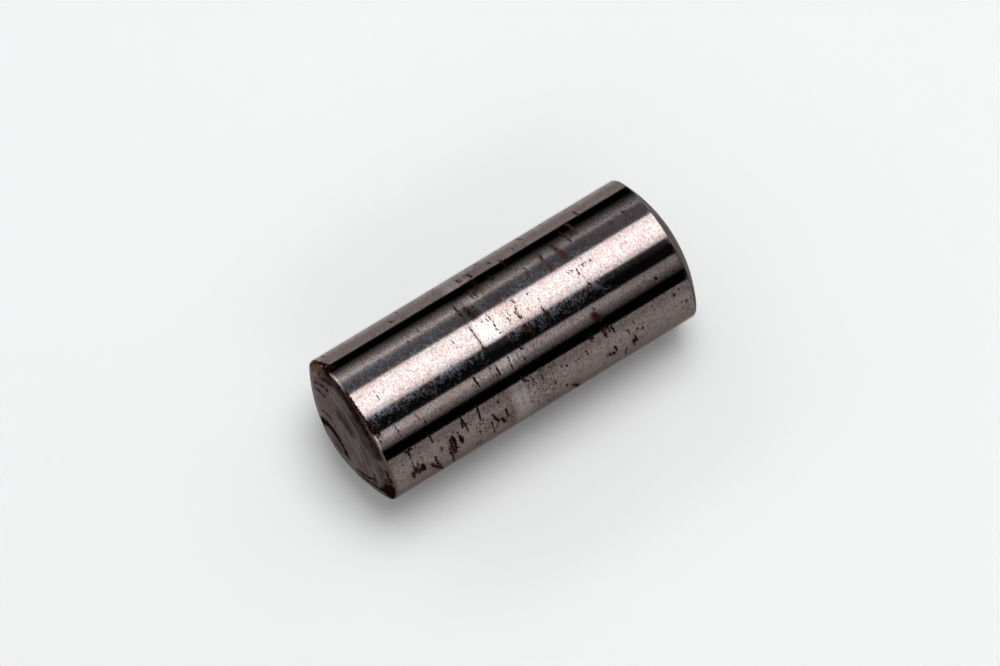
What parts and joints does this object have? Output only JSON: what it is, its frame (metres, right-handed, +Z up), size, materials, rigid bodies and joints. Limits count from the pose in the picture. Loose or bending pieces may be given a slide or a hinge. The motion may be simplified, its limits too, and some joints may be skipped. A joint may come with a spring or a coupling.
{
  "type": "locating pin",
  "caption": "Plain cylindrical steel locating pin with a ground shank and crowned ends, pressed into matching bores to line up joined parts.",
  "frame": {"origin": "on the pin's axis, at the middle of its length", "axes": "+X along the pin's axis, from the end with the turned ring to the plain end; +Z up with the pin lying on its side, as in the picture"},
  "size_m": [0.03, 0.012, 0.012],
  "materials": {
    "ground_steel": "ground bright, with a thin rust bloom and rust spots"
  },
  "bodies": {
    "root": {"locating_pin": "ground_steel"}
  },
  "joints": []
}
